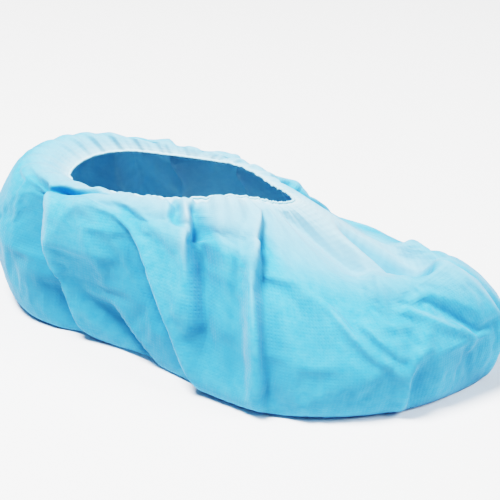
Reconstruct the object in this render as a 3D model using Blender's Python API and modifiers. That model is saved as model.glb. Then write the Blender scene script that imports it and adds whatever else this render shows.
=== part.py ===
"""A disposable shoe cover, standing filled out as it is when worn.

One folded sheet of nonwoven makes the whole body, closed by a seam up the heel and a seam over the toe.
Its top edge is gathered into a narrow rolled hem with the elastic inside.
X runs from heel to toe, +Y is the far side, and the sole stands on Z = 0.
"""

import math

import bmesh
import bpy
import numpy as np

# Driving sizes, in metres.
LENGTH = 0.320
WIDTH = 0.144
HEIGHT = 0.100
MOUTH_LENGTH = 0.142
MOUTH_WIDTH = 0.064
MOUTH_FROM_HEEL = 0.049
MOUTH_SHIFT = 0.007
WALL = 0.001
HEM_DIAMETER = 0.0034
HEM_CLEARANCE = 0.0004
HEM_LEAN = 0.4
GATHER_DEPTH = 0.0014
FOLD_DEPTH = 0.008

# How finely the sheet is cut: columns from heel to toe on each side, and rows from one ring to the next.
COLUMNS = 60
ROWS = (3, 3, 4, 4, 3, 2)
HEM_RESOLUTION = 1
SEAM_MERGE = 0.00005
SMALLEST = 1e-9

# The gathers: how many go round the mouth, how many rings down they reach and how soon they fade, how uneven their
# depth and their spacing are, and over how many stations they shrink to a share of their depth at the mouth's tip.
GATHERS = 28
GATHER_RINGS = 2.4
GATHER_FADE = 1.5
GATHER_UNEVEN = 0.3
UNEVEN_TURNS = 5
GATHER_DRIFT = 1.2
DRIFT_TURNS = 3
TIP_STATIONS = 5
TIP_GATHER = 0.1

# How softly a fold starts and ends: 1 is a half wave, and less rises sooner.
FOLD_ENDS = 0.85

# The body is drawn as six rings around the foot, each through eleven stations from the heel seam to the toe seam.
# Upper part: the hem's line, then the crown and the instep, placed between it and the shoulder. The hem's along and
# out are shares of the mouth, between is a share of the way out to the shoulder, and up, the near side's lift and the
# crown's rise over the hem are shares of the height.
UPPER = (
    # hem along, out, up, lift     crown between, rise     instep between, up
    (0.000, 0.00, 0.820, 0.000, 0.33, 0.085, 0.66, 0.905),
    (0.035, 0.53, 0.825, 0.000, 0.33, 0.080, 0.66, 0.905),
    (0.155, 0.86, 0.840, 0.000, 0.33, 0.065, 0.66, 0.895),
    (0.324, 0.96, 0.850, 0.015, 0.35, 0.045, 0.68, 0.880),
    (0.493, 0.98, 0.865, 0.030, 0.33, 0.035, 0.66, 0.880),
    (0.648, 0.92, 0.880, 0.040, 0.30, 0.015, 0.62, 0.860),
    (0.775, 0.66, 0.890, 0.050, 0.24, -0.005, 0.58, 0.810),
    (0.872, 0.38, 0.890, 0.020, 0.18, -0.020, 0.56, 0.740),
    (0.938, 0.255, 0.885, 0.000, 0.16, -0.030, 0.62, 0.665),
    (0.982, 0.150, 0.880, 0.000, 0.14, -0.025, 0.66, 0.630),
    (1.004, 0.00, 0.880, 0.000, 0.13, -0.020, 0.67, 0.625),
)
# Lower part: the shoulder, the belly and the edge of the sole. Along is a share of the length, out of half the
# width, up of the height, and sway is how far the station leans to the far side, as a share of the width.
LOWER = (
    # shoulder along, out, up     belly along, out, up     sole along, out     sway
    (0.038, 0.00, 0.780, 0.000, 0.00, 0.460, 0.034, 0.00, 0.000),
    (0.072, 0.36, 0.785, 0.031, 0.38, 0.440, 0.062, 0.33, 0.000),
    (0.153, 0.58, 0.790, 0.122, 0.66, 0.420, 0.138, 0.58, 0.000),
    (0.262, 0.64, 0.785, 0.250, 0.74, 0.400, 0.256, 0.66, 0.003),
    (0.372, 0.65, 0.780, 0.378, 0.80, 0.380, 0.381, 0.74, -0.010),
    (0.484, 0.65, 0.750, 0.509, 0.87, 0.360, 0.509, 0.87, -0.028),
    (0.597, 0.61, 0.670, 0.641, 0.93, 0.320, 0.634, 0.95, -0.042),
    (0.709, 0.52, 0.610, 0.772, 0.83, 0.320, 0.759, 0.84, -0.022),
    (0.800, 0.41, 0.600, 0.884, 0.61, 0.340, 0.869, 0.61, 0.024),
    (0.862, 0.24, 0.665, 0.958, 0.32, 0.370, 0.941, 0.29, 0.080),
    (0.890, 0.00, 0.705, 0.986, 0.00, 0.380, 0.966, 0.00, 0.100),
)
SHOULDER_SWAY = 0.5
SOLE_LINE = 0.88
STATIONS = len(UPPER) - 1

# The folds. Each runs down the sheet from one ring to another (0 is the hem, 3 the shoulder, 4 the belly and 5 the
# edge of the sole) through three stations, and rises by a share of the fold depth, or sinks where that is negative.
# Behind and ahead are its widths towards the heel and the toe, in stations.
NEAR_FOLDS = (
    # from ring, to ring, from station, middle, to station, rise, behind, ahead
    (2.2, 4.9, 3.45, 4.35, 5.10, 0.90, 0.22, 0.45),
    (2.6, 4.7, 3.25, 3.95, 4.60, -0.60, 0.45, 0.25),
    (0.2, 4.6, 4.90, 4.72, 5.05, 0.80, 0.30, 0.18),
    (0.1, 4.5, 5.25, 5.00, 5.25, -1.20, 0.16, 0.28),
    (0.1, 3.6, 5.75, 5.60, 5.60, 0.60, 0.35, 0.35),
    (0.7, 4.9, 6.40, 5.92, 6.10, 1.10, 0.28, 0.15),
    (0.9, 4.7, 6.72, 6.20, 6.35, -1.20, 0.15, 0.40),
    (2.0, 4.9, 1.85, 2.50, 3.00, 0.80, 0.22, 0.35),
    (2.3, 4.6, 1.40, 1.95, 2.55, -0.80, 0.35, 0.22),
    (0.9, 2.9, 3.00, 2.35, 1.80, -0.55, 0.32, 0.28),
    (1.3, 3.8, 3.15, 2.80, 2.40, 0.45, 0.25, 0.25),
    (3.9, 5.0, 3.45, 3.80, 4.25, -0.70, 0.35, 0.32),
    (0.4, 1.8, 4.50, 4.60, 4.65, -0.45, 0.15, 0.15),
    (2.8, 4.1, 6.80, 7.22, 7.65, 0.50, 0.30, 0.25),
    (3.0, 4.3, 7.30, 7.60, 7.90, 0.50, 0.25, 0.25),
    (3.6, 4.9, 8.15, 7.88, 7.90, 0.55, 0.22, 0.18),
    (3.6, 4.8, 8.50, 8.15, 8.15, -0.75, 0.20, 0.35),
    (2.9, 4.5, 8.25, 8.75, 9.25, -0.50, 0.35, 0.40),
    (1.5, 3.3, 9.40, 8.75, 7.95, 0.50, 0.28, 0.28),
    (1.9, 3.0, 10.0, 9.70, 9.30, -0.70, 0.40, 0.40),
    (3.8, 5.0, 8.65, 8.95, 9.25, -0.55, 0.30, 0.30),
    (0.7, 1.6, 7.60, 8.10, 8.80, -0.40, 0.60, 0.60),
)
FAR_FOLDS = (
    # from ring, to ring, from station, middle, to station, rise, behind, ahead
    (0.9, 4.6, 3.10, 3.25, 3.55, 0.60, 0.30, 0.22),
    (1.5, 4.4, 3.45, 3.60, 3.95, -0.80, 0.20, 0.32),
    (2.4, 4.9, 2.20, 2.70, 2.75, 0.75, 0.25, 0.35),
    (2.4, 4.7, 1.80, 2.20, 2.30, -0.70, 0.35, 0.22),
    (0.9, 4.8, 4.60, 4.55, 4.80, 0.60, 0.32, 0.24),
    (1.5, 4.6, 5.00, 4.98, 5.20, -0.80, 0.20, 0.35),
    (1.6, 4.9, 6.00, 5.75, 6.05, 0.70, 0.30, 0.22),
    (0.9, 4.7, 6.35, 6.08, 6.35, -1.00, 0.18, 0.40),
    (2.6, 4.5, 6.90, 7.25, 7.70, 0.60, 0.28, 0.25),
    (3.2, 4.9, 8.30, 7.95, 7.90, 0.55, 0.22, 0.20),
    (3.3, 4.7, 8.70, 8.40, 8.30, -0.70, 0.22, 0.35),
    (3.8, 5.0, 4.10, 4.20, 4.30, -0.60, 0.32, 0.30),
    (1.6, 3.2, 9.20, 8.70, 8.10, 0.45, 0.30, 0.30),
    (1.9, 3.0, 10.0, 9.60, 9.20, -0.70, 0.40, 0.40),
)
SEAM_FOLDS = (
    # from ring, to ring, from station, middle, to station, rise, behind, ahead
    (2.9, 5.1, 10.0, 10.0, 10.0, -0.50, 0.20, 0.20),
    (2.7, 5.1, 0.00, 0.00, 0.00, -0.40, 0.20, 0.20),
)


def all_round(column):
    """A table's column read from the heel along the near side to the toe, and back along the far side."""
    return np.concatenate([column, column[-2:0:-1]])


def placed(along, out, up, sway):
    """A ring's knots in metres: near side from heel to toe, then the far side back."""
    side = np.concatenate([-np.ones(len(along)), np.ones(len(along) - 2)])
    return np.stack([all_round(along), all_round(sway) + side * all_round(out), up], axis=-1)


def ring_knots():
    """The rings' knots from the hem down to the middle of the sole: ring, knot and x, y, z."""
    upper, lower = np.array(UPPER).T, np.array(LOWER).T
    heel = -LENGTH / 2
    sway = lower[8] * WIDTH
    lift = np.concatenate([upper[3], np.zeros(STATIONS - 1)])
    hem = placed(
        heel + MOUTH_FROM_HEEL + upper[0] * MOUTH_LENGTH,
        upper[1] * MOUTH_WIDTH / 2,
        (all_round(upper[2]) + lift) * HEIGHT,
        np.full(STATIONS + 1, MOUTH_SHIFT),
    )
    shoulder = placed(
        heel + lower[0] * LENGTH, lower[1] * WIDTH / 2, all_round(lower[2]) * HEIGHT, sway * SHOULDER_SWAY
    )
    belly = placed(heel + lower[3] * LENGTH, lower[4] * WIDTH / 2, all_round(lower[5]) * HEIGHT, sway)
    sole = placed(heel + lower[6] * LENGTH, lower[7] * WIDTH / 2, np.zeros(2 * STATIONS), sway)
    middle = placed((heel + lower[6] * LENGTH) * SOLE_LINE, np.zeros(STATIONS + 1), np.zeros(2 * STATIONS), sway)
    crown, instep = (hem + all_round(upper[share])[:, None] * (shoulder - hem) for share in (4, 6))
    crown[:, 2] = hem[:, 2] + all_round(upper[5]) * HEIGHT
    instep[:, 2] = all_round(upper[7]) * HEIGHT
    return np.array([hem, crown, instep, shoulder, belly, sole, middle])


def catmull_rom(before, start, end, after, share):
    """The smooth curve from start to end that also looks to its neighbours."""
    turn = 2 * before - 5 * start + 4 * end - after
    return start + 0.5 * share * (end - before + share * (turn + share * (3 * (start - end) + after - before)))


def around(knots, places):
    """Each ring read at places, counted in stations from the heel seam: ring, place and x, y, z."""
    low = np.floor(places).astype(int)
    share = (places - low)[None, :, None]
    four = [knots[:, (low + step) % knots.shape[1]] for step in (-1, 0, 1, 2)]
    return catmull_rom(*four, share)


def down(rings):
    """Every column filled in between its ring points: row, column and x, y, z."""
    rows = [rings[0]]
    last = len(rings) - 1
    for ring, steps in enumerate(ROWS):
        before, start = rings[max(ring - 1, 0)], rings[ring]
        end, after = rings[ring + 1], rings[min(ring + 2, last)]
        for step in range(1, steps + 1):
            if ring + 1 == last:
                rows.append(start + (end - start) * step / steps)
            else:
                rows.append(catmull_rom(before, start, end, after, step / steps))
    return np.array(rows)


def fold_heights(folds, ring, station):
    """How far the folds lift the sheet at each ring and station, in metres."""
    height = np.zeros(np.broadcast(ring, station).shape)
    for first, last, top, middle, bottom, rise, behind, ahead in folds:
        way = np.clip((ring - first) / (last - first), 0, 1)
        centre = top + way * (4 * middle - 3 * top - bottom + way * 2 * (top - 2 * middle + bottom))
        off = (station - centre + STATIONS) % (2 * STATIONS) - STATIONS
        across = np.exp(-((off / np.where(off < 0, behind, ahead)) ** 2))
        height += rise * FOLD_DEPTH * across * np.sin(math.pi * way) ** FOLD_ENDS
    return height


def gather_heights(ring, place):
    """The elastic's gathers: even ripples at the hem that run out down the sheet."""
    fade = np.clip(1 - ring / GATHER_RINGS, 0, 1) ** GATHER_FADE
    from_toe = np.abs(place - STATIONS)
    tip = np.interp(from_toe, (0, TIP_STATIONS), (TIP_GATHER, 1))
    turn = math.pi * place / STATIONS
    uneven = 1 + GATHER_UNEVEN * np.sin(UNEVEN_TURNS * turn)
    drift = GATHER_DRIFT * np.sin(DRIFT_TURNS * turn)
    return GATHER_DEPTH * fade * tip * uneven * np.sin(GATHERS * turn + drift)


def unit(vectors):
    return vectors / np.maximum(np.linalg.norm(vectors, axis=-1, keepdims=True), SMALLEST)


def outward(points):
    """The direction square to the sheet at each point, pointing out of the cover."""
    along = np.roll(points, -1, axis=1) - np.roll(points, 1, axis=1)
    return unit(np.cross(np.gradient(points, axis=0), along))


def filled_out_sheet():
    """The sheet as it stands: rows from the hem to the middle of the sole, columns all the way round."""
    place = np.linspace(0, 2 * STATIONS, 2 * COLUMNS, endpoint=False)
    steps = [np.arange(1, count + 1) / count + ring for ring, count in enumerate(ROWS)]
    ring = np.concatenate([[0], *steps])[:, None]
    points = down(around(ring_knots(), place))
    points[..., 2] = np.maximum(points[..., 2], 0)
    height = (
        fold_heights(NEAR_FOLDS + SEAM_FOLDS, ring, place)
        + fold_heights(FAR_FOLDS, ring, 2 * STATIONS - place)
        + gather_heights(ring, place)
    )
    points += outward(points) * height[..., None]
    points[..., 2] = np.maximum(points[..., 2], 0)
    corners = points.reshape(-1, 3)
    points[..., :2] -= (corners.min(axis=0) + corners.max(axis=0))[:2] / 2
    return points


def make_cover_body(collection, points):
    """One flat sheet, shaped, joined to itself up the heel and over the toe, and given its wall."""
    back = -np.arange(COLUMNS + 1)
    folded = np.concatenate([points[:, : COLUMNS + 1], points[-2::-1, back]])
    rows, columns = folded.shape[:2]
    sheet = bmesh.new()
    bmesh.ops.create_grid(sheet, x_segments=columns - 1, y_segments=rows - 1, size=0.5)
    for vertex in sheet.verts:
        column = round((vertex.co.x + 0.5) * (columns - 1))
        row = round((vertex.co.y + 0.5) * (rows - 1))
        vertex.co = folded[row, column]
    bmesh.ops.remove_doubles(sheet, verts=sheet.verts, dist=SEAM_MERGE)
    bmesh.ops.recalc_face_normals(sheet, faces=sheet.faces)
    mesh = bpy.data.meshes.new("cover_body")
    sheet.to_mesh(mesh)
    sheet.free()
    mesh.shade_smooth()
    body = bpy.data.objects.new("cover_body", mesh)
    collection.objects.link(body)
    wall = body.modifiers.new("wall", "SOLIDIFY")
    wall.thickness = WALL
    wall.offset = -1
    return body


def make_elastic_hem(collection, points):
    """The gathered hem: a closed tube that follows the sheet's top edge just clear of it."""
    edge = points[0]
    along = unit(np.roll(edge, -1, axis=0) - np.roll(edge, 1, axis=0))
    rising = unit(edge - points[1]) + (0, 0, HEM_LEAN)
    rising = unit(rising - along * (rising * along).sum(axis=-1, keepdims=True))
    path = edge + rising * (HEM_DIAMETER / 2 + HEM_CLEARANCE) - outward(points)[0] * WALL / 2
    curve = bpy.data.curves.new("elastic_hem", "CURVE")
    curve.dimensions = "3D"
    curve.twist_mode = "Z_UP"
    curve.bevel_depth = HEM_DIAMETER / 2
    curve.bevel_resolution = HEM_RESOLUTION
    spline = curve.splines.new("POLY")
    spline.points.add(len(path) - 1)
    for point, place in zip(spline.points, path):
        point.co = (*place, 1)
    spline.use_cyclic_u = True
    hem = bpy.data.objects.new("elastic_hem", curve)
    collection.objects.link(hem)
    return hem


def make_material(name, colour, roughness):
    material = bpy.data.materials.new(name)
    material.use_nodes = True
    shader = material.node_tree.nodes["Principled BSDF"]
    shader.inputs["Base Color"].default_value = (*colour, 1)
    shader.inputs["Roughness"].default_value = roughness
    shader.inputs["Metallic"].default_value = 0
    return material


for old in list(bpy.data.objects):
    bpy.data.objects.remove(old)
cover = bpy.data.collections.new("shoe_cover")
bpy.context.scene.collection.children.link(cover)
standing = filled_out_sheet()
body = make_cover_body(cover, standing)
body.data.materials.append(make_material("nonwoven_blue", (0.36, 0.68, 0.80), 0.8))
hem = make_elastic_hem(cover, standing)
hem.data.materials.append(make_material("hem_white", (0.82, 0.88, 0.90), 0.75))
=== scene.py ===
import math

import bmesh
import bpy
import numpy as np
from mathutils import Matrix, Vector


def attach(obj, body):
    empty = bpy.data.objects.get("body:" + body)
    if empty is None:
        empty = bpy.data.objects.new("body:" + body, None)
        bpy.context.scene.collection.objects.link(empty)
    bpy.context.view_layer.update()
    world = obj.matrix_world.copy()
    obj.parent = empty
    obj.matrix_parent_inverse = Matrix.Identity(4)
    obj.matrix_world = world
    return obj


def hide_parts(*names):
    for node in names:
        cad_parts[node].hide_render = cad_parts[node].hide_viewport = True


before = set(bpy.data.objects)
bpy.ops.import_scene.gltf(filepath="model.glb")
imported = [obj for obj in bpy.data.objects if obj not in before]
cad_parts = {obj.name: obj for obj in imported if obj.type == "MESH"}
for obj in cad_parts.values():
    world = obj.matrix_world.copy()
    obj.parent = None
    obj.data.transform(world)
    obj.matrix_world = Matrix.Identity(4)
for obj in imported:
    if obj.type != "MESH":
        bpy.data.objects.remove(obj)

scene = bpy.context.scene
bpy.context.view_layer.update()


# The body of the cover.
# One folded sheet of light blue spunbond polypropylene, cut 0.40 by 0.34 m, closed by a welded seam up the
# heel and another over the toe, and stuffed out so that it stands on its sole. Its slack lies in the folds.
LENGTH = 0.320
WIDTH = 0.144
HEIGHT = 0.100
MOUTH_LENGTH = 0.142
MOUTH_WIDTH = 0.064
MOUTH_FROM_HEEL = 0.049
MOUTH_SHIFT = 0.007
FLAT_WIDTH = 0.34
FLAT_LENGTH = 0.40
CLOTH = 0.0004
FOLD_DEPTH = 0.008

# The sheet is drawn as seven rings, from the hem (0) to the middle of the sole (6), each through eleven
# stations from the heel seam (0) to the toe seam (10). Lengths are shares of the sizes above.
UPPER = (
    # hem along, out, up, lift     crown between, rise     instep between, up
    (0.000, 0.00, 0.820, 0.000, 0.33, 0.085, 0.66, 0.905),
    (0.035, 0.53, 0.825, 0.000, 0.33, 0.080, 0.66, 0.905),
    (0.155, 0.86, 0.840, 0.000, 0.33, 0.065, 0.66, 0.895),
    (0.324, 0.96, 0.850, 0.015, 0.35, 0.045, 0.68, 0.880),
    (0.493, 0.98, 0.865, 0.030, 0.33, 0.035, 0.66, 0.880),
    (0.648, 0.92, 0.880, 0.040, 0.30, 0.015, 0.62, 0.860),
    (0.775, 0.66, 0.890, 0.050, 0.24, -0.005, 0.58, 0.810),
    (0.872, 0.38, 0.890, 0.020, 0.18, -0.020, 0.56, 0.740),
    (0.938, 0.255, 0.885, 0.000, 0.16, -0.030, 0.62, 0.665),
    (0.982, 0.150, 0.880, 0.000, 0.14, -0.025, 0.66, 0.630),
    (1.004, 0.00, 0.880, 0.000, 0.13, -0.020, 0.67, 0.625),
)
LOWER = (
    # shoulder along, out, up     belly along, out, up     sole along, out     sway
    (0.038, 0.00, 0.780, 0.000, 0.00, 0.460, 0.034, 0.00, 0.000),
    (0.072, 0.36, 0.785, 0.031, 0.38, 0.440, 0.062, 0.33, 0.000),
    (0.153, 0.58, 0.790, 0.122, 0.66, 0.420, 0.138, 0.58, 0.000),
    (0.262, 0.64, 0.785, 0.250, 0.74, 0.400, 0.256, 0.66, 0.003),
    (0.372, 0.65, 0.780, 0.378, 0.80, 0.380, 0.381, 0.74, -0.010),
    (0.484, 0.65, 0.750, 0.509, 0.87, 0.360, 0.509, 0.87, -0.028),
    (0.597, 0.61, 0.670, 0.641, 0.93, 0.320, 0.634, 0.95, -0.042),
    (0.709, 0.52, 0.610, 0.772, 0.83, 0.320, 0.759, 0.84, -0.022),
    (0.800, 0.41, 0.600, 0.884, 0.61, 0.340, 0.869, 0.61, 0.024),
    (0.862, 0.24, 0.665, 0.958, 0.32, 0.370, 0.941, 0.29, 0.080),
    (0.890, 0.00, 0.705, 0.986, 0.00, 0.380, 0.966, 0.00, 0.100),
)
SHOULDER_SWAY = 0.5
SOLE_LINE = 0.88
STATIONS = len(UPPER) - 1

# Columns from seam to seam on one side, and rows from each ring to the next.
COLUMNS = 256
ROWS = (22, 16, 18, 20, 14, 4)
SEAM_MERGE = 0.00005
SMALLEST = 1e-9

# The folds run down the sheet from one ring to another through three stations. Each rises by a share of the
# fold depth, or sinks where that is negative. Behind and ahead are its widths, in stations, towards the heel
# and the toe.
NEAR_FOLDS = (
    # from ring, to ring, from station, middle, to station, rise, behind, ahead
    # The long slanting fold, and the panel in its shade.
    (2.7, 5.0, 3.58, 4.57, 5.16, 0.70, 0.14, 0.50),
    (2.6, 5.0, 3.38, 4.42, 5.04, -0.65, 0.40, 0.14),
    (3.1, 5.1, 3.76, 4.49, 5.06, -0.95, 1.30, 0.15),
    (2.2, 4.0, 3.00, 3.15, 3.50, 0.85, 0.75, 0.60),
    (3.5, 5.1, 2.90, 3.20, 3.80, -0.60, 0.80, 0.80),
    # The left pleat under the mouth, and the edge that stands over it.
    (0.2, 4.7, 5.00, 4.86, 5.08, 0.85, 0.80, 0.14),
    (0.0, 4.4, 5.12, 5.02, 5.06, -0.50, 0.14, 0.45),
    (1.5, 4.6, 5.21, 5.17, 5.15, -0.85, 0.28, 0.28),
    # The panel between the pleats, the ridge at its end, and the right pleat.
    (0.1, 3.4, 5.85, 5.66, 5.60, 0.60, 0.60, 0.75),
    (0.9, 4.9, 6.80, 6.02, 6.16, 0.85, 0.26, 0.12),
    (0.9, 3.3, 6.92, 6.40, 6.12, -0.42, 0.12, 0.30),
    (2.2, 4.9, 6.22, 6.11, 6.24, -0.52, 0.12, 0.35),
    (3.9, 4.9, 6.10, 6.22, 6.40, -0.35, 0.14, 0.30),
    (2.6, 4.6, 5.72, 5.70, 5.80, -0.30, 0.40, 0.20),
    # The overlap at the heel, and the slit and the ridge that run from it to the mouth.
    (1.9, 4.9, 2.00, 2.56, 3.05, 0.50, 0.16, 0.50),
    (2.4, 4.9, 1.75, 2.35, 2.90, -0.90, 0.95, 0.16),
    (1.9, 3.9, 1.85, 2.08, 2.35, -1.10, 0.60, 0.14),
    (0.9, 2.7, 3.05, 2.45, 1.85, -0.80, 0.20, 0.32),
    (1.3, 3.8, 3.20, 2.95, 2.40, 0.50, 0.35, 0.45),
    # Dents at the sole's edge, and short ones near the mouth.
    (4.15, 5.05, 3.45, 3.85, 4.20, -1.20, 0.50, 0.15),
    (4.2, 5.05, 2.45, 2.75, 3.05, -0.80, 0.40, 0.15),
    (0.3, 2.5, 4.50, 4.60, 4.68, -0.85, 0.12, 0.18),
    (1.8, 3.1, 3.60, 3.85, 4.05, -0.40, 0.25, 0.25),
    # The sharp creases at the toe.
    (3.1, 4.05, 7.00, 7.26, 7.62, 0.28, 0.09, 0.16),
    (3.3, 4.15, 7.40, 7.66, 7.95, 0.28, 0.10, 0.16),
    (3.85, 4.3, 7.60, 7.74, 7.88, 0.18, 0.10, 0.10),
    (3.5, 4.35, 8.40, 8.12, 7.90, 0.24, 0.12, 0.16),
    (4.0, 4.95, 7.86, 7.90, 7.95, 0.32, 0.14, 0.10),
    (3.9, 4.90, 8.03, 8.06, 8.12, -0.35, 0.10, 0.30),
    (3.25, 4.0, 8.30, 8.62, 9.00, 0.35, 0.20, 0.12),
    (3.2, 4.0, 8.62, 8.88, 9.20, -0.30, 0.12, 0.30),
    # The toe's bulge, and the dimple, the ridge and the hollow of the instep behind it.
    (2.6, 3.9, 9.80, 9.50, 9.30, 0.60, 0.60, 0.70),
    (0.8, 2.2, 8.00, 8.30, 8.70, -0.75, 0.80, 0.70),
    (1.3, 3.6, 9.50, 8.45, 7.75, 0.60, 0.35, 0.55),
    (1.3, 3.0, 10.1, 9.75, 9.30, -1.20, 0.55, 0.60),
    # The dents under the toe and along the side.
    (4.0, 5.0, 8.75, 9.00, 9.30, -0.50, 0.50, 0.45),
    (2.8, 5.0, 9.80, 9.72, 9.75, 0.35, 0.16, 0.18),
    (2.9, 4.0, 6.40, 6.65, 6.80, -0.25, 0.30, 0.30),
    (3.2, 4.6, 5.40, 5.52, 5.50, -0.40, 0.40, 0.35),
)
FAR_FOLDS = (
    # from ring, to ring, from station, middle, to station, rise, behind, ahead
    (1.5, 4.6, 3.10, 3.25, 3.55, 0.70, 0.55, 0.22),
    (2.0, 4.4, 3.32, 3.44, 3.75, -0.85, 0.16, 0.60),
    (2.4, 4.9, 2.20, 2.70, 2.75, 0.85, 0.30, 0.60),
    (2.4, 4.7, 1.90, 2.35, 2.40, -0.80, 0.65, 0.22),
    (1.3, 4.8, 4.60, 4.55, 4.80, 0.70, 0.60, 0.22),
    (2.0, 4.6, 4.82, 4.74, 5.00, -0.85, 0.16, 0.65),
    (1.6, 4.9, 6.00, 5.75, 6.05, 0.90, 0.55, 0.18),
    (0.9, 4.7, 6.20, 5.92, 6.22, -1.10, 0.15, 0.70),
    (2.6, 4.5, 6.90, 7.25, 7.70, 0.60, 0.45, 0.22),
    (3.2, 4.9, 8.30, 7.95, 7.90, 0.60, 0.35, 0.18),
    (3.3, 4.7, 8.50, 8.15, 8.10, -0.75, 0.18, 0.60),
    (3.8, 5.0, 4.10, 4.20, 4.30, -0.60, 0.50, 0.50),
    (1.6, 3.2, 9.20, 8.70, 8.10, 0.45, 0.50, 0.50),
    (1.9, 3.0, 10.0, 9.60, 9.20, -0.70, 0.70, 0.70),
    (0.9, 2.6, 2.60, 2.20, 1.80, -0.60, 0.25, 0.35),
    (2.9, 4.0, 5.20, 5.30, 5.35, -0.35, 0.35, 0.35),
)
SEAM_FOLDS = (
    # from ring, to ring, from station, middle, to station, rise, behind, ahead
    (2.6, 5.1, 10.0, 10.0, 10.0, -0.30, 0.22, 0.22),
    (2.4, 5.1, 0.00, 0.00, 0.00, -0.45, 0.22, 0.22),
)

# How softly a fold starts and ends and curves on its flanks, how round its crest is, how it wanders, how
# uneven its height is down the sheet, and how far it leans over its narrow side. Widths are in stations.
FOLD_ENDS = 0.7
FLANK_CURVE = 1.25
CREST = 0.05
WANDER = 0.025
WANDER_TURNS = 4.3
UNEVEN = 0.18
UNEVEN_TURNS = 6.1
LEAN = 0.13

# The cloth's colour carries painted light and shade at the folds: a painted highlight along a sharp crest and
# a raised fold, and painted shade, deeper in colour, where a fold sinks out of the light. Only folds narrower
# than the widths below show this.
CREASED_BELOW = 0.25
CREASE_WIDTH = 0.07
CREST_HIGHLIGHT = 0.7
TINTED_BELOW = 0.7
RAISED_HIGHLIGHT = 0.35
SUNK_SHADE = 1.2
SUNK_SOON = 1.7
MOST_SUNK = 0.75

# The elastic's gathers: sets of ripples round the mouth, in metres deep. They start at a share of that depth
# at the hem, and are shallow at the mouth's tip, where the sheet lies flat over the instep.
GATHERS = (
    # count, depth, ring where it starts, ring where it is deepest, ring where it ends, drift, drift turns
    (37, 0.0011, 0.0, 0.8, 2.6, 1.6, 3),
    (83, 0.0006, 0.0, 0.5, 1.7, 2.1, 5),
)
HEM_GATHER = 0.45
TIP_STATIONS = 5
TIP_GATHER = 0.1


def all_round(column):
    """A table's column read from the heel along the near side to the toe, and back along the far side."""
    return np.concatenate([column, column[-2:0:-1]])


def placed(along, out, up, sway):
    """A ring's knots in metres: near side from heel to toe, then the far side back."""
    side = np.concatenate([-np.ones(len(along)), np.ones(len(along) - 2)])
    return np.stack([all_round(along), all_round(sway) + side * all_round(out), up], axis=-1)


def ring_knots():
    """The rings' knots from the hem down to the middle of the sole: ring, knot and x, y, z."""
    upper, lower = np.array(UPPER).T, np.array(LOWER).T
    heel = -LENGTH / 2
    sway = lower[8] * WIDTH
    lift = np.concatenate([upper[3], np.zeros(STATIONS - 1)])
    hem = placed(
        heel + MOUTH_FROM_HEEL + upper[0] * MOUTH_LENGTH,
        upper[1] * MOUTH_WIDTH / 2,
        (all_round(upper[2]) + lift) * HEIGHT,
        np.full(STATIONS + 1, MOUTH_SHIFT),
    )
    shoulder = placed(
        heel + lower[0] * LENGTH, lower[1] * WIDTH / 2, all_round(lower[2]) * HEIGHT, sway * SHOULDER_SWAY
    )
    belly = placed(heel + lower[3] * LENGTH, lower[4] * WIDTH / 2, all_round(lower[5]) * HEIGHT, sway)
    on_floor = np.zeros(2 * STATIONS)
    sole_along = heel + lower[6] * LENGTH
    sole = placed(sole_along, lower[7] * WIDTH / 2, on_floor, sway)
    middle = placed(sole_along * SOLE_LINE, np.zeros(STATIONS + 1), on_floor, sway)
    crown, instep = (hem + all_round(upper[share])[:, None] * (shoulder - hem) for share in (4, 6))
    crown[:, 2] = hem[:, 2] + all_round(upper[5]) * HEIGHT
    instep[:, 2] = all_round(upper[7]) * HEIGHT
    return np.array([hem, crown, instep, shoulder, belly, sole, middle])


def catmull_rom(before, start, end, after, share):
    """The smooth curve from start to end that also looks to its neighbours."""
    turn = 2 * before - 5 * start + 4 * end - after
    return start + 0.5 * share * (end - before + share * (turn + share * (3 * (start - end) + after - before)))


def around(knots, places):
    """Each ring read at places, counted in stations from the heel seam: ring, place and x, y, z."""
    low = np.floor(places).astype(int)
    share = (places - low)[None, :, None]
    four = [knots[:, (low + step) % knots.shape[1]] for step in (-1, 0, 1, 2)]
    return catmull_rom(*four, share)


def down(rings, row_counts):
    """Every column filled in between its ring points: row, column and x, y, z."""
    rows = [rings[0]]
    last = len(rings) - 1
    for ring, steps in enumerate(row_counts):
        before, start = rings[max(ring - 1, 0)], rings[ring]
        end, after = rings[ring + 1], rings[min(ring + 2, last)]
        for step in range(1, steps + 1):
            if ring + 1 == last:
                rows.append(start + (end - start) * step / steps)
            else:
                rows.append(catmull_rom(before, start, end, after, step / steps))
    return np.array(rows)


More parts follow.
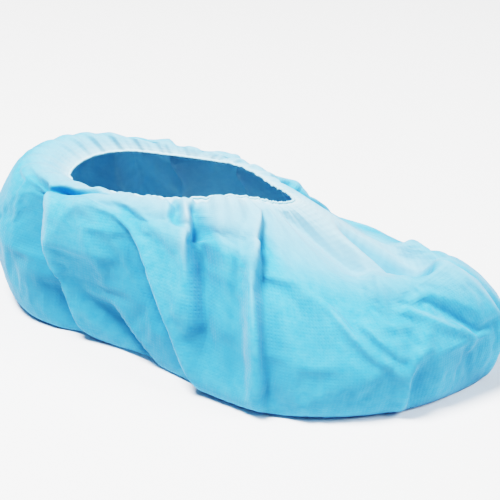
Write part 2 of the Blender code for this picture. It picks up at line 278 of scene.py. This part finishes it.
def folded_out(folds, ring, station):
    """How far the folds lift the sheet and lean it towards the toe, and the painted highlight and shade they
    put in its colour, at each ring and station.
    """
    height = np.zeros(np.broadcast(ring, station).shape)
    lean, crest_highlight, sunk_shade, raised_highlight = (height.copy() for _ in range(4))
    for count, (first, last, top, middle, bottom, rise, behind, ahead) in enumerate(folds):
        way = np.clip((ring - first) / (last - first), 0, 1)
        centre = top + way * (4 * middle - 3 * top - bottom + way * 2 * (top - 2 * middle + bottom))
        centre = centre + WANDER * np.sin(WANDER_TURNS * ring + count)
        off = (station - centre + STATIONS) % (2 * STATIONS) - STATIONS
        flank = (np.hypot(off, CREST) - CREST) / np.where(off < 0, behind, ahead)
        across = np.clip(1 - flank, 0, 1) ** FLANK_CURVE * np.sin(math.pi * way) ** FOLD_ENDS
        across = across * (1 + UNEVEN * np.sin(UNEVEN_TURNS * ring + 2 * count))
        height += rise * FOLD_DEPTH * across
        narrower = min(behind, ahead)
        if narrower < CREASED_BELOW and rise > 0:
            line = np.exp(-((off / CREASE_WIDTH) ** 2)) * np.sin(math.pi * way)
            crest_highlight = np.maximum(crest_highlight, line)
        if narrower < TINTED_BELOW:
            sunk_shade = np.maximum(sunk_shade, -rise * across)
            raised_highlight = np.maximum(raised_highlight, rise * across)
        lean += LEAN * abs(rise) * across * (behind - ahead) / (behind + ahead)
    # Painted highlights along crests and raised folds, less painted shade where folds sink.
    fold_light_and_shade = CREST_HIGHLIGHT * crest_highlight + RAISED_HIGHLIGHT * raised_highlight - SUNK_SHADE * np.minimum(SUNK_SOON * sunk_shade, MOST_SUNK)
    return height, lean, fold_light_and_shade


def gather_heights(ring, place):
    """The elastic's gathers, which run out down the sheet."""
    turn = math.pi * place / STATIONS
    tip = np.interp(np.abs(place - STATIONS), (0, TIP_STATIONS), (TIP_GATHER, 1))
    height = np.zeros(np.broadcast(ring, place).shape)
    for count, depth, start, deepest, end, drift, drift_turns in GATHERS:
        fade = np.interp(ring, (start, deepest, end), (HEM_GATHER, 1, 0))
        height += depth * fade * tip * np.sin(count * turn + drift * np.sin(drift_turns * turn))
    return height


def unit(vectors):
    """The vectors at a length of 1."""
    return vectors / np.maximum(np.linalg.norm(vectors, axis=-1, keepdims=True), SMALLEST)


def outward(points):
    """The direction square to the sheet at each point, pointing out of the cover."""
    along = np.roll(points, -1, axis=1) - np.roll(points, 1, axis=1)
    return unit(np.cross(np.gradient(points, axis=0), along))


def standing_sheet(columns, rows):
    """The filled-out sheet, rows down by columns all round, then its rings and the painted highlight and shade
    of its folds.
    """
    place = np.linspace(0, 2 * STATIONS, 2 * columns, endpoint=False)
    steps = [np.arange(1, count + 1) / count + above for above, count in enumerate(rows)]
    ring = np.concatenate([[0], *steps])[:, None]
    points = down(around(ring_knots(), place), rows)
    points[..., 2] = np.maximum(points[..., 2], 0)
    near, near_lean, near_light_and_shade = folded_out(NEAR_FOLDS + SEAM_FOLDS, ring, place)
    far, far_lean, far_light_and_shade = folded_out(FAR_FOLDS, ring, 2 * STATIONS - place)
    along = (np.roll(points, -1, axis=1) - np.roll(points, 1, axis=1)) * columns / (2 * STATIONS)
    height = near + far + gather_heights(ring, place)
    points += outward(points) * height[..., None] + along * (near_lean - far_lean)[..., None]
    points[..., 2] = np.maximum(points[..., 2], 0)
    corners = points.reshape(-1, 3)
    points[..., :2] -= (corners.min(axis=0) + corners.max(axis=0))[:2] / 2
    return points, ring[:, 0], near_light_and_shade + far_light_and_shade


def sewn_cut(points, ring, fold_light_and_shade):
    """The flat cut as a bmesh grid, shaped to points and joined to itself up the heel and over the toe."""
    half = points.shape[1] // 2
    back = -np.arange(half + 1)
    folded = np.concatenate([points[:, : half + 1], points[-2::-1, back]])
    fold_light_and_shade = np.concatenate([fold_light_and_shade[:, : half + 1], fold_light_and_shade[-2::-1, back]])
    rings_down = np.concatenate([ring, ring[-2::-1]])
    steps_down = np.linalg.norm(np.diff(folded, axis=0), axis=-1).mean(axis=1)
    share_down = np.concatenate([[0], np.cumsum(steps_down)]) / steps_down.sum()
    row_count, column_count = folded.shape[:2]
    cut = bmesh.new()
    flat = cut.loops.layers.uv.new("flat")
    bmesh.ops.create_grid(
        cut, x_segments=column_count - 1, y_segments=row_count - 1, size=0.5, calc_uvs=True
    )
    # The colour's painted light and shade: paler up the sheet, deeper low on the sides, the folds' painted
    # highlights and shade, and a tone that is paler towards the toe.
    painted_light_shade_and_tone = cut.verts.layers.float.new("painted_light_shade_and_tone")
    light_shade_down = np.interp(rings_down, *PAINTED_LIGHT_SHADE_DOWN)
    pale_along = np.interp(np.linspace(0, 1, column_count), *PALE_ALONG)
    for vertex in cut.verts:
        column = round((vertex.co.x + 0.5) * (column_count - 1))
        row = round((vertex.co.y + 0.5) * (row_count - 1))
        vertex.co = folded[row, column]
        vertex[painted_light_shade_and_tone] = light_shade_down[row] + pale_along[column] + FOLD_LIGHT_SHADE * fold_light_and_shade[row, column]
        for loop in vertex.link_loops:
            loop[flat].uv.y = share_down[row]
    bmesh.ops.remove_doubles(cut, verts=cut.verts, dist=SEAM_MERGE)
    bmesh.ops.recalc_face_normals(cut, faces=cut.faces)
    return cut


def settled(points, ring):
    """How far each point of the sheet moves as its slack buckles, with the hem and the sole held."""
    rows, columns = points.shape[:2]
    cut = bmesh.new()
    bmesh.ops.create_grid(cut, x_segments=columns, y_segments=rows - 1, size=0.5)
    place_of = cut.verts.layers.int.new("place")
    for vertex in cut.verts:
        column = round((vertex.co.x + 0.5) * columns) % columns
        row = round((vertex.co.y + 0.5) * (rows - 1))
        vertex.co = points[row, column]
        vertex[place_of] = row * columns + column
    bmesh.ops.remove_doubles(cut, verts=cut.verts, dist=SEAM_MERGE)
    places = np.array([vertex[place_of] for vertex in cut.verts])
    mesh = bpy.data.meshes.new("slack")
    cut.to_mesh(mesh)
    cut.free()
    slack = bpy.data.objects.new("slack", mesh)
    scene.collection.objects.link(slack)
    ring_of = ring[places // columns]
    held = slack.vertex_groups.new(name="held")
    weights = np.interp(ring_of, *HELD)
    for index, weight in enumerate(weights):
        if weight > 0:
            held.add([index], float(weight), "REPLACE")
    cloth = slack.modifiers.new("cloth", "CLOTH")
    settings = cloth.settings
    settings.quality = SIM_QUALITY
    settings.mass = SIM_MASS
    settings.tension_stiffness = SIM_STIFFNESS
    settings.compression_stiffness = SIM_STIFFNESS
    settings.shear_stiffness = SIM_SHEAR
    settings.bending_stiffness = SIM_BENDING
    settings.air_damping = SIM_DAMPING
    settings.vertex_group_mass = "held"
    settings.shrink_min = -SLACK
    settings.use_pressure = True
    settings.uniform_pressure_force = SIM_PRESSURE
    settings.effector_weights.gravity = 0
    cloth.collision_settings.use_collision = False
    for frame_number in range(1, SIM_FRAMES + 1):
        scene.frame_set(frame_number)
    moved = slack.evaluated_get(bpy.context.evaluated_depsgraph_get()).data
    shift = np.zeros((rows * columns, 3))
    shift[places] = [after.co - before.co for after, before in zip(moved.vertices, mesh.vertices)]
    bpy.data.objects.remove(slack)
    scene.frame_set(1)
    return shift.reshape(rows, columns, 3)


def blurred(field, reach):
    """The field's broad part, each point averaged with its neighbours up to reach away."""
    weights = np.hanning(2 * reach + 3)[1:-1]
    weights /= weights.sum()
    padded = np.concatenate([field[reach:0:-1], field, field[-2 : -reach - 2 : -1]])
    field = sum(weight * padded[step : step + len(field)] for step, weight in enumerate(weights))
    return sum(weight * np.roll(field, reach - step, axis=1) for step, weight in enumerate(weights))


def upsampled(field, factor):
    """A closed field of rows and columns, read factor times as finely."""
    rows, columns = field.shape[:2]
    row_at = np.arange((rows - 1) * factor + 1) / factor
    column_at = np.arange(columns * factor) / factor
    low = np.minimum(np.floor(row_at).astype(int), rows - 2)
    share = (row_at - low)[:, None, None]
    four = [field[np.clip(low + step, 0, rows - 1)] for step in (-1, 0, 1, 2)]
    field = catmull_rom(*four, share)
    low = np.floor(column_at).astype(int)
    share = (column_at - low)[None, :, None]
    four = [field[:, (low + step) % columns] for step in (-1, 0, 1, 2)]
    return catmull_rom(*four, share)


# The small buckles come from a cloth simulation of a coarser sheet that is a little slack and lightly blown
# out. Only the part of its movement that is finer than BROAD rows is kept, and at most MOST_MOVED of it, on
# the rings where FREE lets it.
COARSER = 2
SLACK = 0.04
HELD = ((0, 0.3, 1.0, 4.2, 4.95), (1, 0.5, 0, 0, 1))
SIM_QUALITY = 6
SIM_MASS = 0.1
SIM_STIFFNESS = 15
SIM_SHEAR = 8
SIM_BENDING = 0.2
SIM_DAMPING = 2
SIM_PRESSURE = 1.0
SIM_FRAMES = 24
BROAD = 6
FREE = ((0, 1.4, 3.0, 4.4, 5), (0, 0, 1, 1, 0))
MOST_MOVED = 0.0015

# How pale the cloth is, by ring and by share of the way from heel to toe, added up. Below 0 it is deeper.
# By ring this is painted light and shade: paler high up, where the lamp lights the top, and deeper low on the
# sides, where shade falls. The last scales the folds' painted highlights and shade.
PAINTED_LIGHT_SHADE_DOWN = ((0, 0.6, 1.6, 3.0, 4.2, 5), (1, 0.56, 0.32, -0.03, -0.50, -0.1))
PALE_ALONG = ((0, 0.3, 0.55, 0.8, 1), (-0.14, -0.04, 0, 0.07, 0.30))
FOLD_LIGHT_SHADE = 0.35

standing, ring, fold_light_and_shade = standing_sheet(COLUMNS, ROWS)
smooth = standing.copy()
coarse, coarse_ring, _ = standing_sheet(COLUMNS // COARSER, [count // COARSER for count in ROWS])
shift = settled(coarse, coarse_ring)
shift -= blurred(shift, BROAD)
shift *= np.interp(coarse_ring, *FREE)[:, None, None]
size = np.linalg.norm(shift, axis=-1, keepdims=True)
shift *= np.minimum(1, MOST_MOVED / np.maximum(size, SMALLEST))
standing += upsampled(shift, COARSER)
standing[..., 2] = np.maximum(standing[..., 2], 0)

cut = sewn_cut(standing, ring, fold_light_and_shade)
body_mesh = bpy.data.meshes.new("cover_body_cloth")
cut.to_mesh(body_mesh)
cut.free()
body_mesh.shade_smooth()
body = bpy.data.objects.new("cover_body_cloth", body_mesh)
scene.collection.objects.link(body)
thickness = body.modifiers.new("cloth", "SOLIDIFY")
thickness.thickness = CLOTH
thickness.offset = -1
thickness.material_offset = 1

# Spunbond: drawn filaments laid at random, pressed together in rows of small bond points. It is matt, a little
# see-through, and cloudy where the filaments lie thick or thin. Painted light and shade go into its colour:
# paler high up and on crests and raised folds, deeper low on the sides and in sunk folds.
BLUE = (0.062, 0.35, 0.68, 1)
# Painted shade colour, for sunk folds and the lower sides.
PAINTED_SHADE_BLUE = (0.032, 0.225, 0.45, 1)
# Painted light colour, mixed in high up, on crests and raised folds, and towards the toe.
PAINTED_LIGHT_BLUE = (0.52, 0.76, 0.89, 1)
THIN_BLUE = (0.12, 0.45, 0.76, 1)
BONDS = 560


def node(tree, kind, **settings):
    """A node of this kind, with its settings and, by name, its inputs' values."""
    made = tree.nodes.new(kind)
    for name, value in settings.items():
        if hasattr(made, name):
            setattr(made, name, value)
        else:
            made.inputs[name.replace("_", " ")].default_value = value
    return made


def join(tree, *path):
    """Links given as output, input, output, input and so on."""
    for start, end in zip(path[::2], path[1::2]):
        tree.links.new(start, end)


def blank(name):
    """A new material, its node tree and the tree's only node, the output."""
    material = bpy.data.materials.new(name)
    material.use_nodes = True
    tree = material.node_tree
    tree.nodes.clear()
    return material, tree, node(tree, "ShaderNodeOutputMaterial")


def flat_metres(tree):
    """Places on the flat cut in metres, so that a pattern keeps its size where the sheet is folded."""
    flat_map = node(tree, "ShaderNodeUVMap", uv_map="flat")
    in_metres = node(tree, "ShaderNodeMapping")
    in_metres.inputs["Scale"].default_value = (FLAT_LENGTH, FLAT_WIDTH, 1)
    join(tree, flat_map.outputs["UV"], in_metres.inputs["Vector"])
    return in_metres.outputs["Vector"]


nonwoven, tree, output = blank("nonwoven_blue")
surface = node(tree, "ShaderNodeBsdfPrincipled", Roughness=0.8)
surface.inputs["Specular IOR Level"].default_value = 0.5
surface.inputs["Sheen Weight"].default_value = 0.25
surface.inputs["Sheen Roughness"].default_value = 0.5
through = node(tree, "ShaderNodeBsdfTranslucent")
cloth_mix = node(tree, "ShaderNodeMixShader", Fac=0.3)
on_cut = flat_metres(tree)
clouds = node(tree, "ShaderNodeTexNoise", Scale=150, Detail=6, Roughness=0.8)
contrast = node(tree, "ShaderNodeMapRange")
contrast.inputs["From Min"].default_value = 0.35
contrast.inputs["From Max"].default_value = 0.65
fibres = node(tree, "ShaderNodeTexNoise", Scale=480, Detail=3, Roughness=0.6)
bonds = node(tree, "ShaderNodeTexVoronoi", Scale=BONDS, Randomness=0)
pressed = node(tree, "ShaderNodeMapRange")
pressed.inputs["From Min"].default_value = 0.15
pressed.inputs["From Max"].default_value = 0.35
pressed.inputs["To Max"].default_value = 0.5
relief = node(tree, "ShaderNodeMath", operation="ADD")
bump = node(tree, "ShaderNodeBump", Strength=0.6, Distance=0.0004)
# The painted light and shade: above 0 it mixes in the painted light colour, below 0 the painted shade colour.
pale = node(tree, "ShaderNodeAttribute", attribute_name="painted_light_shade_and_tone")
tint = node(tree, "ShaderNodeMix", data_type="RGBA")
tint.inputs["A"].default_value = BLUE
tint.inputs["B"].default_value = THIN_BLUE
painted_light_mix = node(tree, "ShaderNodeMix", data_type="RGBA")
painted_light_mix.inputs["B"].default_value = PAINTED_LIGHT_BLUE
shade_amount = node(tree, "ShaderNodeMath", operation="MULTIPLY")
shade_amount.inputs[1].default_value = -1
painted_shade_mix = node(tree, "ShaderNodeMix", data_type="RGBA")
painted_shade_mix.inputs["B"].default_value = PAINTED_SHADE_BLUE
join(
    tree,
    on_cut, clouds.inputs["Vector"],
    on_cut, fibres.inputs["Vector"],
    on_cut, bonds.inputs["Vector"],
    bonds.outputs["Distance"], pressed.inputs["Value"],
    fibres.outputs["Fac"], relief.inputs[0],
    pressed.outputs["Result"], relief.inputs[1],
    relief.outputs["Value"], bump.inputs["Height"],
    bump.outputs["Normal"], surface.inputs["Normal"],
    clouds.outputs["Fac"], contrast.inputs["Value"],
    contrast.outputs["Result"], tint.inputs["Factor"],
    tint.outputs["Result"], painted_shade_mix.inputs["A"],
    pale.outputs["Fac"], shade_amount.inputs[0],
    shade_amount.outputs["Value"], painted_shade_mix.inputs["Factor"],
    painted_shade_mix.outputs["Result"], painted_light_mix.inputs["A"],
    pale.outputs["Fac"], painted_light_mix.inputs["Factor"],
    painted_light_mix.outputs["Result"], surface.inputs["Base Color"],
    painted_light_mix.outputs["Result"], through.inputs["Color"],
    surface.outputs["BSDF"], cloth_mix.inputs[1],
    through.outputs["BSDF"], cloth_mix.inputs[2],
    cloth_mix.outputs["Shader"], output.inputs["Surface"],
)

# The same sheet seen from within. Light comes through it, so it glows where the outside is lit. Its colours
# are much paler than the outside's blue: painted light that brightens the inside.
INSIDE_PAINTED_LIGHT = (0.66, 0.80, 0.85, 1)
INSIDE_DEEP_PAINTED_LIGHT = (0.44, 0.60, 0.66, 1)
PASSED = (0.93, 0.95, 0.96, 1)

inside, tree, output = blank("nonwoven_inside_painted_light")
surface = node(tree, "ShaderNodeBsdfPrincipled", Roughness=0.85)
through = node(tree, "ShaderNodeBsdfTranslucent", Color=PASSED)
cloth_mix = node(tree, "ShaderNodeMixShader", Fac=0.5)
on_cut = flat_metres(tree)
clouds = node(tree, "ShaderNodeTexNoise", Scale=120, Detail=6, Roughness=0.75)
contrast = node(tree, "ShaderNodeMapRange")
contrast.inputs["From Min"].default_value = 0.3
contrast.inputs["From Max"].default_value = 0.7
bonds = node(tree, "ShaderNodeTexVoronoi", Scale=BONDS, Randomness=0)
bump = node(tree, "ShaderNodeBump", Strength=0.5, Distance=0.0003)
tint = node(tree, "ShaderNodeMix", data_type="RGBA")
tint.inputs["A"].default_value = INSIDE_DEEP_PAINTED_LIGHT
tint.inputs["B"].default_value = INSIDE_PAINTED_LIGHT
join(
    tree,
    on_cut, clouds.inputs["Vector"],
    on_cut, bonds.inputs["Vector"],
    bonds.outputs["Distance"], bump.inputs["Height"],
    bump.outputs["Normal"], surface.inputs["Normal"],
    clouds.outputs["Fac"], contrast.inputs["Value"],
    contrast.outputs["Result"], tint.inputs["Factor"],
    tint.outputs["Result"], surface.inputs["Base Color"],
    surface.outputs["BSDF"], cloth_mix.inputs[1],
    through.outputs["BSDF"], cloth_mix.inputs[2],
    cloth_mix.outputs["Shader"], output.inputs["Surface"],
)
body_mesh.materials.append(nonwoven)
body_mesh.materials.append(inside)
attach(body, "root")
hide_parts("cover_body")


# The elastic hem.
# The sheet's top edge is rolled over a thin elastic and sewn, which draws it into a narrow ring of tight
# gathers.
HEM_DIAMETER = 0.0017
HEM_LEAN = 0.4
HEM_SIDES = 14
HEM_STEPS = 4 * COLUMNS

# The puckers in the roll: how many and how deep, how far their spacing drifts, and by what share their
# depth varies.
PUCKERS = 118
PUCKER_DEPTH = 0.0001
PUCKER_DRIFT = 2
DRIFT_TURNS = 3
PUCKER_UNEVEN = 0.4
PUCKER_UNEVEN_TURNS = 7

edge = standing[0]
along = unit(np.roll(edge, -1, axis=0) - np.roll(edge, 1, axis=0))
rising = unit(edge - smooth[1]) + (0, 0, HEM_LEAN)
rising = unit(rising - along * (rising * along).sum(axis=-1, keepdims=True))
across = unit(np.cross(along, rising))
path = edge + rising * (HEM_DIAMETER / 2) - outward(smooth)[0] * CLOTH / 2
ring_mesh = bmesh.new()
ring_mesh.loops.layers.uv.new("round")
bmesh.ops.create_grid(ring_mesh, x_segments=HEM_STEPS, y_segments=HEM_SIDES, size=0.5, calc_uvs=True)


def ringwise(values, position):
    """A closed row of points read between its points."""
    low = int(position) % len(values)
    share = position - int(position)
    return values[low] * (1 - share) + values[(low + 1) % len(values)] * share


for vertex in ring_mesh.verts:
    position = (vertex.co.x + 0.5) * len(edge)
    angle = (vertex.co.y + 0.5) * math.tau
    turn = position / len(edge) * math.tau
    pucker = math.sin(PUCKERS * turn + PUCKER_DRIFT * math.sin(DRIFT_TURNS * turn))
    pucker *= 1 - PUCKER_UNEVEN + PUCKER_UNEVEN * math.sin(PUCKER_UNEVEN_TURNS * turn)
    radius = HEM_DIAMETER / 2 + PUCKER_DEPTH * pucker
    up, out = (Vector(ringwise(values, position)) for values in (rising, across))
    vertex.co = Vector(ringwise(path, position)) + (up * math.cos(angle) + out * math.sin(angle)) * radius
bmesh.ops.remove_doubles(ring_mesh, verts=ring_mesh.verts, dist=SEAM_MERGE)
bmesh.ops.recalc_face_normals(ring_mesh, faces=ring_mesh.faces)
hem_mesh = bpy.data.meshes.new("elastic_hem_roll")
ring_mesh.to_mesh(hem_mesh)
ring_mesh.free()
hem_mesh.shade_smooth()
hem = bpy.data.objects.new("elastic_hem_roll", hem_mesh)
scene.collection.objects.link(hem)

# The rolled edge is whiter than the sheet, for four layers of it lie together. A fine thread goes over it.
HEM_PALE = (0.42, 0.62, 0.72, 1)
HEM_BLUE = (0.24, 0.46, 0.60, 1)
THREAD_TURNS = 260
THREAD_SLANT = 0.3

hem_white, tree, output = blank("hem_white")
surface = node(tree, "ShaderNodeBsdfPrincipled", Roughness=0.7)
surface.inputs["Sheen Weight"].default_value = 0.2
round_map = node(tree, "ShaderNodeUVMap", uv_map="round")
thread_map = node(tree, "ShaderNodeMapping")
thread_map.inputs["Scale"].default_value = (THREAD_TURNS, 1, 1)
thread_map.inputs["Rotation"].default_value = (0, 0, THREAD_SLANT)
threads = node(tree, "ShaderNodeTexWave", Scale=0.32, Distortion=1.5, Detail=2)
patches = node(tree, "ShaderNodeTexNoise", Scale=420, Detail=5, Roughness=0.7)
place_map = node(tree, "ShaderNodeTexCoord")
relief = node(tree, "ShaderNodeMath", operation="ADD")
bump = node(tree, "ShaderNodeBump", Strength=0.5, Distance=0.0002)
tint = node(tree, "ShaderNodeMix", data_type="RGBA")
tint.inputs["A"].default_value = HEM_BLUE
tint.inputs["B"].default_value = HEM_PALE
join(
    tree,
    round_map.outputs["UV"], thread_map.inputs["Vector"],
    thread_map.outputs["Vector"], threads.inputs["Vector"],
    place_map.outputs["Object"], patches.inputs["Vector"],
    threads.outputs["Fac"], relief.inputs[0],
    patches.outputs["Fac"], relief.inputs[1],
    relief.outputs["Value"], bump.inputs["Height"],
    bump.outputs["Normal"], surface.inputs["Normal"],
    patches.outputs["Fac"], tint.inputs["Factor"],
    tint.outputs["Result"], surface.inputs["Base Color"],
    surface.outputs["BSDF"], output.inputs["Surface"],
)
hem_mesh.materials.append(hem_white)
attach(hem, "root")
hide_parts("elastic_hem")


# The studio.
# A plain pale floor, a large soft lamp up and to the left, a weak front fill, and a pale room around them.
FLOOR_SIZE = 8
FLOOR_DROP = 0.0006

bpy.ops.mesh.primitive_plane_add(size=FLOOR_SIZE, location=(0, 0, -FLOOR_DROP))
floor = bpy.context.object
floor.name = "floor"
pale_floor = bpy.data.materials.new("pale_floor")
pale_floor.use_nodes = True
paint = pale_floor.node_tree.nodes["Principled BSDF"]
paint.inputs["Base Color"].default_value = (0.84, 0.845, 0.85, 1)
paint.inputs["Roughness"].default_value = 0.9
floor.data.materials.append(pale_floor)

room = bpy.data.worlds.new("room")
scene.world = room
room.use_nodes = True
light = room.node_tree.nodes["Background"]
light.inputs["Color"].default_value = (0.80, 0.92, 1.0, 1)
light.inputs["Strength"].default_value = 0.11

LOOK_AT = Vector((0.0017, 0.0064, 0.045))


def away_from(azimuth, elevation):
    """The direction from the cover to this azimuth, counted from the near side, and this elevation."""
    turn, rise = math.radians(azimuth), math.radians(elevation)
    return Vector((math.sin(turn) * math.cos(rise), -math.cos(turn) * math.cos(rise), math.sin(rise)))


def lamp(name, azimuth, elevation, distance, size, power, colour):
    """An area lamp at this azimuth and elevation, facing the cover."""
    data = bpy.data.lights.new(name, "AREA")
    data.shape = "DISK"
    data.size = size
    data.energy = power
    data.color = colour
    made = bpy.data.objects.new(name, data)
    scene.collection.objects.link(made)
    away = away_from(azimuth, elevation)
    made.location = LOOK_AT + away * distance
    made.rotation_euler = away.to_track_quat("Z", "Y").to_euler()


lamp("key", -48, 71, 1.4, 0.5, 42, (1.0, 0.98, 0.96))
lamp("fill", 98, 40, 1.6, 0.9, 17, (0.95, 0.98, 1.0))


# The camera.
# It stands where the photograph's did, which was worked out from the cover's outline. Its focal length and its
# centre are in pixels of the 500 pixel picture.
AZIMUTH = 24.47
ELEVATION = 30.07
DISTANCE = 0.8939
FOCAL_PIXELS = 1531.7
CENTRE_X = 241.2
CENTRE_Y = 261.0
PICTURE = 500
SENSOR = 36

camera_data = bpy.data.cameras.new("camera")
camera = bpy.data.objects.new("camera", camera_data)
scene.collection.objects.link(camera)
away = away_from(AZIMUTH, ELEVATION)
right = Vector((math.cos(math.radians(AZIMUTH)), math.sin(math.radians(AZIMUTH)), 0))
facing = Matrix((right, away.cross(right), away)).transposed().to_4x4()
camera.matrix_world = Matrix.Translation(LOOK_AT + away * DISTANCE) @ facing
camera_data.sensor_width = SENSOR
camera_data.lens = FOCAL_PIXELS * SENSOR / PICTURE
camera_data.shift_x = (PICTURE / 2 - CENTRE_X) / PICTURE
camera_data.shift_y = (CENTRE_Y - PICTURE / 2) / PICTURE
camera_data.clip_start = 0.05
camera_data.clip_end = 50
scene.camera = camera
scene.view_settings.view_transform = "Filmic"
scene.view_settings.look = "Very High Contrast"
scene.view_settings.exposure = 0.3
